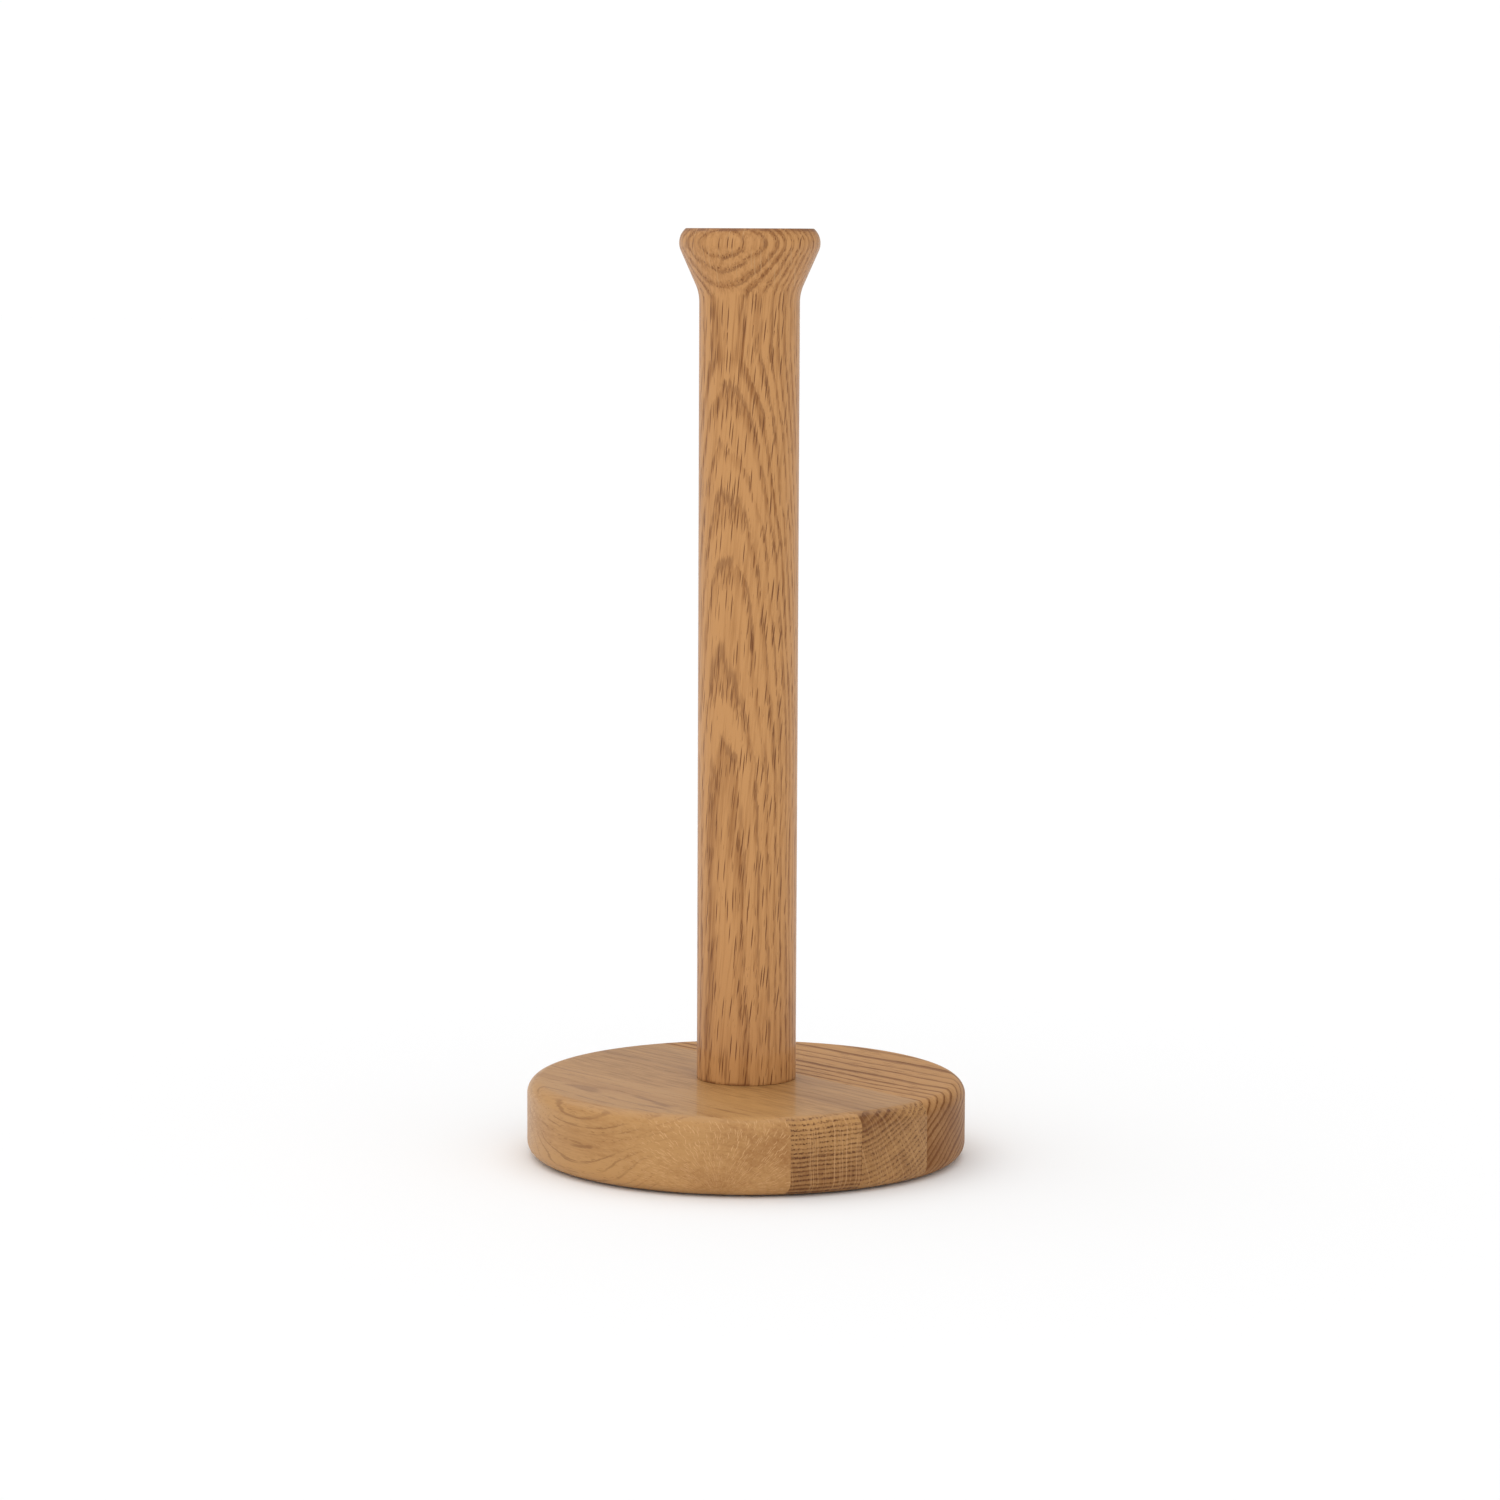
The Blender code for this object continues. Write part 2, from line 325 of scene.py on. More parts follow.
# How oak is built, in metres about a pith that lies along Z: growth rings, pores drawn out along
# the fibres and crowded at the start of each ring, and rays standing out from the pith.
def makeOakFigure():
    inputs = {"Vector": "Vector", "Normal": "Vector", **oakGrowth}
    tree, given, result = newGroup("oakFigure", inputs, figureParts)
    plus, less, times = sumsOf(tree)
    at, seed = given["Vector"], joinXyz(tree, given["Seed"], given["Seed"], given["Seed"])

    def scaled(vector, part):
        return calcVector(
            tree, "ADD", calcVector(tree, "MULTIPLY", vector, figureScale[part]), seed
        )

    # the fibres sway a little along the trunk, and may wind round it
    sway = noise(tree, scaled(at, "sway"), 1.0, output="Color")
    sway = calcVector(tree, "SUBTRACT", sway, (0.5, 0.5, 0.5))
    bent = calcVector(tree, "ADD", at, calcVector(tree, "MULTIPLY", sway, (0.0025, 0.0025, 0.0)))
    split = splitXyz(tree, bent)
    winding = {"Vector": bent, "Angle": times(given["Twist"], split[2])}
    wound = addNode(tree, "ShaderNodeVectorRotate", winding, rotation_type="Z_AXIS").outputs[0]

    # rings: distance from the pith, less a bow that draws them in along the trunk, plus wander
    radius = calcVector(tree, "LENGTH", joinXyz(tree, split[0], split[1]))
    rise = calc(tree, "MAXIMUM", less(split[2], given["Bow Start"]), 0.0)
    rise = calc(tree, "MINIMUM", rise, given["Bow Span"])
    bow = times(times(rise, rise), given["Bow"])
    slow = signedNoise(tree, scaled(at, "slow"), given["Wander"])
    quick = signedNoise(tree, scaled(at, "quick"), times(given["Wander"], 0.4))
    grain = signedNoise(tree, scaled(wound, "feather"), given["Feather"], 1.0)
    depth = plus(less(radius, bow), plus(slow, quick))
    count = calc(tree, "DIVIDE", plus(depth, grain), given["Ring Width"])
    count = plus(count, given["Ring Shift"])
    pace = {"W": plus(times(count, 0.41), given["Seed"]), "Scale": 1.0, "Detail": 0.0}
    uneven = addNode(tree, "ShaderNodeTexNoise", pace, noise_dimensions="1D").outputs["Fac"]
    count = plus(count, times(uneven, given["Uneven"]))
    ring = calc(tree, "FRACT", count)
    number = {"W": plus(calc(tree, "FLOOR", count), given["Seed"])}
    ringTone = addNode(tree, "ShaderNodeTexWhiteNoise", number, noise_dimensions="1D")
    ringTone = ringTone.outputs["Value"]

    # early wood: starts sharply, fades into the late wood
    part = times(given["Early Part"], plus(0.8, times(ringTone, 0.4)))
    fade = less(1.0, softStep(tree, ring, times(part, 0.35), part))
    early = times(fade, softStep(tree, ring, 0.0, 0.09))
    # the ring's own thin line, coming and going along it
    gap = times(calc(tree, "MINIMUM", ring, less(1.0, ring)), given["Ring Width"])
    line = less(1.0, softStep(tree, gap, 0.00008, 0.00026))
    line = times(line, softStep(tree, noise(tree, scaled(at, "line"), 1.0), 0.42, 0.6))

    # pores: spindles in cells drawn out along the fibres, wide in the early wood
    cells = {"Vector": scaled(wound, "pore"), "Scale": 1.0}
    cell = addNode(tree, "ShaderNodeTexVoronoi", cells).outputs
    luck = addNode(tree, "ShaderNodeSeparateColor", {0: cell["Color"]}).outputs[0]
    width = times(given["Pore Size"], float(figureScale["pore"][0]))
    width = times(width, plus(0.25, times(early, plus(0.45, times(luck, 0.6)))))
    pores = less(1.0, softStep(tree, cell["Distance"], times(width, 0.6), width))

    # rays: thin sheets that stand out from the pith, lens shaped when seen from the bark
    woundSplit = splitXyz(tree, wound)
    around = times(calc(tree, "ARCTAN2", woundSplit[1], woundSplit[0]), given["Reach"])
    around = plus(around, signedNoise(tree, scaled(at, "curl"), given["Ray Curl"]))
    polar = joinXyz(tree, around, radius, woundSplit[2])
    cellSize = joinXyz(tree, given["Ray Gap"], given["Ray Run"], given["Ray Rise"])
    sheets = calcVector(tree, "ADD", calcVector(tree, "DIVIDE", polar, cellSize), seed)
    cells = {"Vector": sheets, "Scale": 1.0, "Randomness": 0.85}
    near = addNode(tree, "ShaderNodeTexVoronoi", cells).outputs["Position"]
    thin = joinXyz(tree, calc(tree, "DIVIDE", given["Ray Gap"], given["Ray Width"]), 1.2, 3.6)
    off = calcVector(tree, "MULTIPLY", calcVector(tree, "SUBTRACT", sheets, near), thin)
    rays = less(1.0, softStep(tree, calcVector(tree, "LENGTH", off), 0.5, 1.0))

    cloud = noise(tree, scaled(at, "cloud"), 3.0)
    fine = noise(tree, scaled(wound, "fine"), 3.0, 0.6)
    broad = noise(tree, scaled(wound, "broad"), 2.0)
    fibre = plus(times(fine, 0.55), times(broad, 0.45))
    inner = less(given["Heart Edge"], given["Heart Soft"])
    heart = less(1.0, softStep(tree, depth, inner, given["Heart Edge"]))

    # how the surface lies: across the fibres, or along a ray
    end = calc(tree, "ABSOLUTE", splitXyz(tree, given["Normal"])[2])
    outward = calcVector(tree, "NORMALIZE", joinXyz(tree, split[0], split[1]))
    along = calc(tree, "ABSOLUTE", calcVector(tree, "DOT_PRODUCT", outward, given["Normal"]))
    flat = plus(times(end, end), times(along, along))
    quarter = calc(tree, "SQRT", calc(tree, "MAXIMUM", less(1.0, flat), 0.0))

    made = (ring, early, line, ringTone, pores, rays, cloud, fibre, heart, end, quarter)
    for label, value in zip(figureParts, made):
        tree.links.new(value, result[label])
    return tree


# The figure turned into colour, roughness and height.
def makeOakFinish():
    inputs = {**{part: 0.0 for part in figureParts}, "Wear": 0.0, **oakTones}
    tree, given, result = newGroup("oakFinish", inputs, ("Color", "Roughness", "Height"))
    plus, less, times = sumsOf(tree)
    cut = softStep(tree, given["End"], 0.1, 0.6)

    def atEnd(value, share):
        return times(value, plus(1.0, times(cut, less(share, 1.0))))

    heart = times(given["Heart"], given["Heart Dark"])
    heart = times(heart, plus(0.35, times(cut, 0.65)))
    band = times(times(given["Early"], given["Band"]), plus(0.6, times(given["Ring Tone"], 0.5)))
    band = times(band, plus(0.55, times(given["Fibre"], 0.9)))
    band = times(atEnd(band, given["End Band"]), plus(1.0, times(heart, 2.6)))
    late = times(softStep(tree, given["Ring"], 0.55, 1.0), 0.12)
    clouds = times(less(given["Cloud"], 0.5), given["Cloudy"])
    streaks = times(less(given["Fibre"], 0.5), given["Streaky"])
    ends = plus(times(times(given["End"], given["End"]), given["End Dark"]), heart)
    uneven = plus(plus(clouds, streaks), ends)
    amount = calc(tree, "ADD", plus(band, late), uneven, clamp=True)
    colour = mixColour(tree, amount, given["Light Wood"], given["Dark Wood"])

    # rays are pale across the end grain, dark slits seen from the bark, and faint on the quarter
    endGrain = softStep(tree, given["End"], 0.15, 0.5)
    onQuarter = softStep(tree, given["Quarter"], 0.75, 0.97)
    fromBark = less(1.0, calc(tree, "MAXIMUM", endGrain, onQuarter))
    pale = times(times(given["Rays"], given["Ray Strength"]), endGrain)
    slit = times(times(given["Rays"], given["Slit Strength"]), fromBark)
    poreAmount = atEnd(given["Pore Strength"], given["End Pores"])
    poreMix = calc(tree, "MULTIPLY", given["Pores"], poreAmount, clamp=True)
    line = atEnd(times(given["Line"], given["Line Strength"]), given["End Band"])
    for mask in (poreMix, slit, line):
        colour = mixColour(tree, mask, colour, given["Pore Color"])
    colour = mixColour(tree, pale, colour, given["Ray Color"])
    colour = mixColour(tree, given["Wear"], colour, given["Wear Color"])

    rough = plus(plus(0.5, times(poreMix, 0.2)), times(less(given["Fibre"], 0.5), 0.12))
    high = plus(times(given["Fibre"], 0.25), times(pale, 0.15))
    deep = times(calc(tree, "MAXIMUM", poreMix, slit), 0.9)
    height = less(high, plus(deep, times(given["Early"], 0.2)))
    for label, value in (("Color", colour), ("Roughness", rough), ("Height", height)):
        tree.links.new(value, result[label])
    return tree


# Wear: where the profile turns sharply, broken up by noise.
def makeEdgeWear():
    inputs = {"Vector": "Vector", "Edge": 0.0, "Sharp": 0.15, "Amount": 0.5, "Grain": 300.0}
    tree, given, result = newGroup("edgeWear", inputs, ["Mask"])
    spots = noise(tree, given["Vector"], 4.0, 0.6, given["Grain"])
    turned = softStep(tree, given["Edge"], given["Sharp"], 0.95)
    worn = calc(tree, "MULTIPLY", turned, softStep(tree, spots, 0.35, 0.65))
    tree.links.new(calc(tree, "MULTIPLY", worn, given["Amount"]), result["Mask"])
    return tree


oakFigure, oakFinish, edgeWear = makeOakFigure(), makeOakFinish(), makeEdgeWear()


# The mask of edge wear, read from the mesh's own edge values.
def wearMask(tree, amount, grain, sharp=0.15):
    edge = addNode(tree, "ShaderNodeAttribute", attribute_name="edge").outputs["Fac"]
    links = {"Vector": objectPlace(tree), "Edge": edge}
    links.update({"Sharp": sharp, "Amount": amount, "Grain": grain})
    return useGroup(tree, edgeWear, links)["Mask"]


# One board's wood. Its pith lies off to a side of the piece, and `axes` turns the piece's
# coordinates so that the fibres run along Z.
def oakMaterial(name, pith, axes, board, coat=0.22):
    wood = {**oakGrowth, **oakTones, **oakWear, **board}
    material, tree, shader = newMaterial(name)
    place = addNode(tree, "ShaderNodeTexCoord").outputs
    turn = axes.to_euler("XYZ")
    centred = {"Vector": place["Object"], "Rotation": turn, "Location": (-pith[0], -pith[1], 0.0)}
    at = addNode(tree, "ShaderNodeMapping", centred).outputs[0]
    turned = {"Vector": place["Normal"], "Rotation": turn}
    facing = addNode(tree, "ShaderNodeMapping", turned, vector_type="VECTOR").outputs[0]
    growth = {key: wood[key] for key in oakGrowth}
    figure = useGroup(tree, oakFigure, {**growth, "Vector": at, "Normal": facing})
    links = {key: wood[key] for key in oakTones}
    links.update({output.name: output for output in figure})
    links["Wear"] = wearMask(tree, wood["Wear Amount"], lacquer["wearGrain"], wood["Wear From"])
    finish = useGroup(tree, oakFinish, links)
    bump = addNode(tree, "ShaderNodeBump", {
        "Height": finish["Height"], "Strength": lacquer["bump"], "Distance": lacquer["bumpDepth"],
    }).outputs[0]
    tree.links.new(finish["Color"], shader.inputs["Base Color"])
    tree.links.new(finish["Roughness"], shader.inputs["Roughness"])
    tree.links.new(bump, shader.inputs["Normal"])
    specular = lacquer["plainSpecular"] + lacquer["coatSpecular"] * coat
    shader.inputs["Specular IOR Level"].default_value = specular
    shader.inputs["Coat Weight"].default_value = coat
    shader.inputs["Coat Roughness"].default_value = lacquer["rough"]
    return material


base = {
    "radius": 0.075,
    "edgeRadius": 0.005,
    "fibreAngle": math.radians(40),  # from -Y towards +X
    "joints": (-0.0360, -0.0122, 0.0176),  # glue joints, measured across the fibres
    "jointGap": 0.00002,
    "padRecess": 0.0583,  # radii of the recesses and bores, and the levels where they end
    "recessTop": 0.0023,
    "washerRecess": 0.0094,
    "washerRecessTop": 0.0081,
    "boltHole": 0.0034,
    "tenonBore": 0.0103,
    "tenonFloor": 0.0145,
    "past": 0.2,  # further across than any stave
    "arcPoints": 110,
    "jointPoints": 28,
    "flatLoops": 8,
}
baseBottom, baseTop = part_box("base_stave_3")[0][2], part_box("base_stave_3")[1][2]
across, up = math.cos(base["fibreAngle"]), math.sin(base["fibreAngle"])
# X across the fibres, Y up, Z along them
staveAxes = Matrix(((across, up, 0), (0, 0, 1), (up, -across, 0)))

# what the two narrow staves share
narrowBoard = {
    "Light Wood": (0.470, 0.246, 0.083, 1),
    "Dark Wood": (0.160, 0.056, 0.010, 1),
    "Pore Color": (0.090, 0.026, 0.004, 1),
    "Ray Run": 0.060,
    "Ray Rise": 0.020,
    "Ray Width": 0.00016,
    "Early Part": 0.75,
    "Heart Soft": 0.012,
    "Band": 0.13,
    "Pore Strength": 0.25,
    "Slit Strength": 0.2,
    "Cloudy": 0.6,
    "Streaky": 1.1,
}

# pith across and up from the disc's centre, on each board's own section
staves = [
    {"pith": (-0.054, 0.000), "lean": 0.0, "coat": 0.22, "board": {
        "Light Wood": (0.470, 0.250, 0.088, 1), "Dark Wood": (0.290, 0.120, 0.030, 1),
        "Ray Color": (0.600, 0.345, 0.150, 1), "Ring Width": 0.0021, "Wander": 0.0020,
        "Reach": 0.020, "Ray Gap": 0.00052, "Ray Run": 0.0020, "Ray Rise": 0.006,
        "Ray Width": 0.00012, "Ray Curl": 0.0007, "Pore Size": 0.00016, "Seed": 3.1,
        "Band": 0.14, "End Band": 0.12, "End Pores": 0.5, "End Dark": 0.55, "Cloudy": 1.4,
        "Streaky": 1.7, "Pore Strength": 0.4, "Slit Strength": 0.15, "Ray Strength": 0.80,
        "Line Strength": 0.45,
    }},
    {"pith": (-0.022, -0.120), "lean": 0.0, "coat": 0.22, "board": {
        **narrowBoard, "Ring Width": 0.00156, "Wander": 0.0004, "Uneven": 0.5, "Reach": 0.133,
        "Ray Gap": 0.00050, "Pore Size": 0.00030, "Heart Edge": 0.139, "Seed": 11.7,
        "End Band": 3.0, "End Pores": 4.0, "End Dark": 0.24, "Heart Dark": 0.34,
        "Ray Strength": 0.55,
    }},
    {"pith": (-0.032, 0.092), "lean": 0.0, "coat": 0.22, "board": {
        **narrowBoard, "Ring Width": 0.0018, "Wander": 0.0005, "Uneven": 0.6, "Reach": 0.080,
        "Ray Gap": 0.00055, "Pore Size": 0.00028, "Heart Edge": 0.082, "Seed": 23.9,
        "End Band": 2.2, "End Pores": 3.0, "End Dark": 0.32, "Heart Dark": 0.45,
        "Ray Strength": 0.40,
    }},
    {"pith": (0.094, -0.100), "lean": math.radians(-3.8), "coat": 0.05, "board": {
        "Light Wood": (0.500, 0.262, 0.100, 1), "Dark Wood": (0.170, 0.058, 0.011, 1),
        "Ring Width": 0.0025, "Wander": 0.0008, "Early Part": 0.45, "Reach": 0.13,
        "Ray Gap": 0.0020, "Ray Run": 0.030, "Pore Size": 0.00018, "Seed": 37.3,
        "Band": 0.80, "End Dark": 0.70, "Cloudy": 0.5, "Pore Strength": 0.7,
        "Ray Strength": 0.2,
    }},
]


# One stave's outline at a given radius: the part of a circle between two lines across the fibres.
# Arcs are r * (cos, sin) of the angle from line to line, and lines join the arcs' ends.
def staveLoop(low, high, r):
    start = math.acos(min(1.0, high / r)) if high < r else 0.0
    stop = math.acos(max(-1.0, low / r)) if low > -r else math.pi
    t = np.linspace(0, 1, base["jointPoints"] + 1)[1:-1, None]
    count = base["arcPoints"]
    if start == 0.0 or stop == math.pi:  # an end stave, on the right or on the left
        ends = (-stop, stop) if start == 0.0 else (start, 2 * math.pi - start)
        a = np.linspace(*ends, 2 * count)
        arcs = r * np.stack([np.cos(a), np.sin(a)], 1)
        return np.concatenate([arcs, arcs[-1] + (arcs[0] - arcs[-1]) * t])
    a, b = np.linspace(start, stop, count), np.linspace(-stop, -start, count)
    first, second = (r * np.stack([np.cos(q), np.sin(q)], 1) for q in (a, b))
    there, back = second[0] - first[-1], first[0] - second[-1]
    return np.concatenate([first, first[-1] + there * t, second, second[-1] + back * t])


# A stave from loops stacked along its profile: the flat top, the rounded rim, the recess for the
# pad, and the flat above it. Flats are loops drawn in by shares to a middle point, or to a bore.
def makeStave(number, low, high):
    rim, e, recess = base["radius"], base["edgeRadius"], base["padRecess"]
    lid = base["recessTop"]
    corners = np.concatenate([
        [[rim - e - 0.002, baseTop]], arcPath((rim - e, baseTop - e), e, math.pi / 2, 0),
        arcPath((rim - e, baseBottom + e), e, 0, -math.pi / 2),
        [[recess, baseBottom], [recess, lid], [recess - 0.001, lid]],
    ])
    profile, edge = easedPath(corners, turnStep=math.radians(5), longStep=0.0025)
    outer = np.stack([staveLoop(low, high, r) for r in profile[:, 0]])
    heights = profile[:, 1]
    first, last = outer[0], outer[-1]
    t = np.linspace(0, 1, base["flatLoops"] + 1)[:-1]
    flats = len(t)
    if number == 3:  # this stave is bored for the tenon, the bolt and the washer
        angle = np.arctan2(first[:, 1], first[:, 0])
        circle = lambda r: r * np.stack([np.cos(angle), np.sin(angle)], 1)
        washer, bolt, tenon = base["washerRecess"], base["boltHole"], base["tenonBore"]
        bores = [(washer, lid), (washer, base["washerRecessTop"]), (bolt, base["washerRecessTop"]),
                 (bolt, base["tenonFloor"]), (tenon, base["tenonFloor"])]
        loops = [circle(tenon) * (1 - k) + first * k for k in t] + list(outer)
        loops += [last * (1 - k) + circle(washer) * k for k in t[1:]]
        loops += [circle(r) for r, _ in bores]
        levels = [baseTop] * flats + list(heights) + [lid] * (flats - 1)
        levels += [z for _, z in bores]
        edge = np.concatenate([np.zeros(flats), edge, np.zeros(flats - 1 + len(bores))])
    else:
        middle, under = first.mean(0), last.mean(0)
        loops = [middle + (first - middle) * k for k in t] + list(outer)
        loops += [under + (last - under) * k for k in t[::-1]]
        levels = [baseTop] * flats + list(heights) + [lid] * flats
        edge = np.concatenate([np.zeros(flats), edge, np.zeros(flats)])
    loops = np.stack(loops)
    levels = np.array(levels)[:, None] + 0 * loops[..., 0]
    s, f = loops[..., 0], -loops[..., 1]  # across, and along the fibres
    grid = np.stack([s * across + f * up, s * up - f * across, levels], -1)
    stave = loopSurface(f"baseStave{number}", grid, edge)
    wood = staves[number - 1]
    axes = staveAxes @ Matrix.Rotation(wood["lean"], 3, "Z")
    stave.data.materials.append(
        oakMaterial(f"oakStave{number}", wood["pith"], axes, wood["board"], wood["coat"])
    )
    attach(stave, "stand")
    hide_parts(f"base_stave_{number}")
    return stave


sides = [-base["past"], *base["joints"], base["past"]]
for number, (low, high) in enumerate(zip(sides, sides[1:]), start=1):
    makeStave(number, low + base["jointGap"] / 2, high - base["jointGap"] / 2)
print("base staves made")


column = {
    "radius": 0.01695,
    "headRadius": 0.02375,
    "rimRadius": 0.0064,
    "rimInset": 0.00225,  # from the widest circle in to the flat top
    "headHeight": 0.0216,
    "neckFillet": 0.0142,
    "cupBore": 0.0126,
    "cupBoreDepth": 0.022,
    "rebate": 0.0163,
    "rebateDepth": 0.0015,
    "tenon": 0.010,
    "tenonChamfer": 0.001,
    "insertBore": 0.0053,
    "insertBoreTop": 0.0329,
    "footGap": 0.00003,  # between the foot and the base
    "darkCorner": 0.0015,  # how far down the head's top corner is drawn darker
    "around": 192,
}
columnWood = {
    "pith": (0.027, 0.0535),
    "lean": math.radians(0.5),
    "board": {
        # on the column the edge colour is dark, so sharp turns of the profile and the head's top
        # corner are drawn darker
        "Wear Color": (0.200, 0.072, 0.020, 1), "Ring Width": 0.0021, "Ring Shift": 0.70,
        "Uneven": 0.7, "Bow": 0.40, "Bow Start": 0.100, "Bow Span": 0.172, "Wander": 0.0013,
        "Feather": 0.00042, "Twist": -1.2, "Pore Size": 0.00021, "Reach": 0.076,
        "Ray Gap": 0.0019, "Ray Run": 0.016, "Ray Rise": 0.019, "Ray Width": 0.00022,
        "Seed": 5.3, "Band": 0.60, "End Dark": 1.10, "Cloudy": 0.6, "Streaky": 2.5,
        "Pore Strength": 0.75, "Slit Strength": 1.0, "Line Strength": 0.48,
        "Wear From": 0.40, "Wear Amount": 0.85,
    },
}
headTop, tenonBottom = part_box("column")[1][2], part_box("column")[0][2]


# Outside of the head: an arc for the rim, a straight cone that touches it, and a fillet into the
# column, the cone being the tangent from the neck to the arc.
def headPath():
    c = column
    rimR, flat = c["headRadius"] - c["rimRadius"], c["headRadius"] - c["rimInset"]
    rimZ = headTop - math.sqrt(c["rimRadius"] ** 2 - (flat - rimR) ** 2)
    start = math.atan2(headTop - rimZ, flat - rimR)
    neck = headTop - c["headHeight"]
    out, rise = rimR - c["radius"], rimZ - neck
    lean = math.atan2(out, rise) + math.asin(c["rimRadius"] / math.hypot(out, rise))
    fillet = c["neckFillet"]
    centre = (c["radius"] + fillet, neck - fillet * math.tan(lean / 2))
    rim = arcPath((rimR, rimZ), c["rimRadius"], start, -lean, 80)
    return np.concatenate([rim, arcPath(centre, fillet, math.pi - lean, math.pi)])


# The column turned from one profile: pole in the cup's bore, rebate, head, side, foot, tenon, and
# back to a pole in the insert's bore.
def makeColumn():
    c = column
    foot, chamfer = baseTop + c["footGap"], c["tenonChamfer"]
    cupFloor, rebateFloor = headTop - c["cupBoreDepth"], headTop - c["rebateDepth"]
    corners = np.concatenate([
        [[0, cupFloor], [c["cupBore"], cupFloor], [c["cupBore"], rebateFloor],
         [c["rebate"], rebateFloor], [c["rebate"], headTop]],
        headPath(),
        [[c["radius"], foot], [c["tenon"], foot], [c["tenon"], tenonBottom + chamfer],
         [c["tenon"] - chamfer, tenonBottom], [c["insertBore"], tenonBottom],
         [c["insertBore"], c["insertBoreTop"]], [0, c["insertBoreTop"]]],
    ])
    profile, edge = easedPath(corners, ease=0.0005, longStep=0.003, turnStep=math.radians(6))
    # handling has darkened the head's top corner
    # the head's top corner counts as a sharp edge, so the column's dark edge colour darkens it
    dark = c["darkCorner"]
    corner = np.clip((profile[:, 1] - headTop + dark) / (0.5 * dark), 0, 1)
    outside = profile[:, 0] > c["headRadius"] - c["rimInset"] - 0.0002
    made = turnedSurface("columnTurned", profile, np.maximum(edge, corner * outside), c["around"])
    axes = Matrix.Rotation(columnWood["lean"], 3, "Y")
    made.data.materials.append(
        oakMaterial("oakColumn", columnWood["pith"], axes, columnWood["board"])
    )
    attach(made, "stand")
    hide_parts("column")
    return made


makeColumn()
print("column made")


# Marks of the lathe: fine grooves that follow the radius and the height, and a slow tarnish.
def makeTurnedMetal():
    inputs = {
        "Vector": "Vector", "Groove": 0.00018, "Tarnish": 0.5, "Spots": 120.0, "Wear": 0.0,
        "Bright": "Color", "Dull": "Color", "Smooth": 0.25, "Rough": 0.45,
    }
    tree, given, result = newGroup("turnedMetal", inputs, ("Color", "Roughness", "Height"))
    plus, less, times = sumsOf(tree)
    split, groove = splitXyz(tree, given["Vector"]), given["Groove"]
    radius = calcVector(tree, "LENGTH", joinXyz(tree, split[0], split[1]))
    turns, rows = (calc(tree, "DIVIDE", value, groove) for value in (radius, split[2]))
    grooves = noise(tree, joinXyz(tree, turns, rows), 3.0, 0.6)
    cloud = noise(tree, given["Vector"], 4.0, 0.6, given["Spots"])
    stain = times(softStep(tree, cloud, 0.40, 0.75), given["Tarnish"])
    stain = times(stain, less(1.0, given["Wear"]))
    spread = plus(times(stain, 0.6), times(grooves, 0.4))
    rough = plus(given["Smooth"], times(less(given["Rough"], given["Smooth"]), spread))
    tree.links.new(mixColour(tree, stain, given["Bright"], given["Dull"]), result["Color"])
    tree.links.new(rough, result["Roughness"])
    tree.links.new(grooves, result["Height"])
    return tree


# Pressed felt: short fibres lying every way, matted into soft lumps.
def makeFeltFibre():
    inputs = {"Vector": "Vector", "Fibre": 0.00012, "Dark": "Color", "Pale": "Color"}
    tree, given, result = newGroup("feltFibre", inputs, ("Color", "Height"))
    plus, _, times = sumsOf(tree)
    width = joinXyz(tree, given["Fibre"], given["Fibre"], given["Fibre"])
    at = calcVector(tree, "DIVIDE", given["Vector"], width)
    layers = None
    for turn, shift in ((0.3, 0.0), (1.4, 17.0), (2.5, 41.0)):
        lay = {"Vector": at, "Location": (shift, shift, 0), "Rotation": (0, 0, turn)}
        lay["Scale"] = (1.0, 0.12, 1.0)  # each fibre about eight times as long as wide
        laid = addNode(tree, "ShaderNodeMapping", lay).outputs[0]
        curl = noise(tree, laid, scale=0.25, output="Color")
        curl = calcVector(tree, "MULTIPLY", curl, (2.5, 2.5, 2.5))
        strand = noise(tree, calcVector(tree, "ADD", laid, curl), 2.0, 0.6)
        strand = softStep(tree, strand, 0.5, 0.62)
        layers = strand if layers is None else calc(tree, "MAXIMUM", layers, strand)
    lumps = noise(tree, at, 3.0, scale=0.06)
    shade = plus(times(layers, 0.45), times(lumps, 0.55))
    tree.links.new(mixColour(tree, shade, given["Dark"], given["Pale"]), result["Color"])
    tree.links.new(shade, result["Height"])
    return tree


turnedMetal, feltFibre = makeTurnedMetal(), makeFeltFibre()
brass = {"Bright": (0.78, 0.55, 0.24, 1), "Dull": (0.50, 0.31, 0.12, 1)}
zinc = {"Bright": (0.64, 0.65, 0.67, 1), "Dull": (0.45, 0.46, 0.48, 1)}


# A turned metal. `wear` is the amount and grain of edge wear, `depth` that of the grooves.
def metalMaterial(name, look, wear=None, depth=0.00002):
    material, tree, shader = newMaterial(name)
    links = dict(look, Vector=objectPlace(tree))
    if wear:
        links["Wear"] = wearMask(tree, *wear)
    metal = useGroup(tree, turnedMetal, links)
    relief = {"Height": metal["Height"], "Strength": 0.5, "Distance": depth}
    bump = addNode(tree, "ShaderNodeBump", relief).outputs[0]
    tree.links.new(metal["Color"], shader.inputs["Base Color"])
    tree.links.new(metal["Roughness"], shader.inputs["Roughness"])
    tree.links.new(bump, shader.inputs["Normal"])
    shader.inputs["Metallic"].default_value = 1.0
    return material


cup = {
    "bore": 0.0113,
    "boreDepth": 0.020,
    "wall": 0.001,
    "flange": 0.016,
    "flangeThick": 0.0012,
    "mouthRadius": 0.001,
    "chamfer": 0.0003,
    "floorFillet": 0.0012,
    "around": 128,
    "finish": {**brass, "Groove": 0.00016, "Tarnish": 0.35, "Smooth": 0.22, "Rough": 0.42},
    "wear": (0.9, 500.0),
}


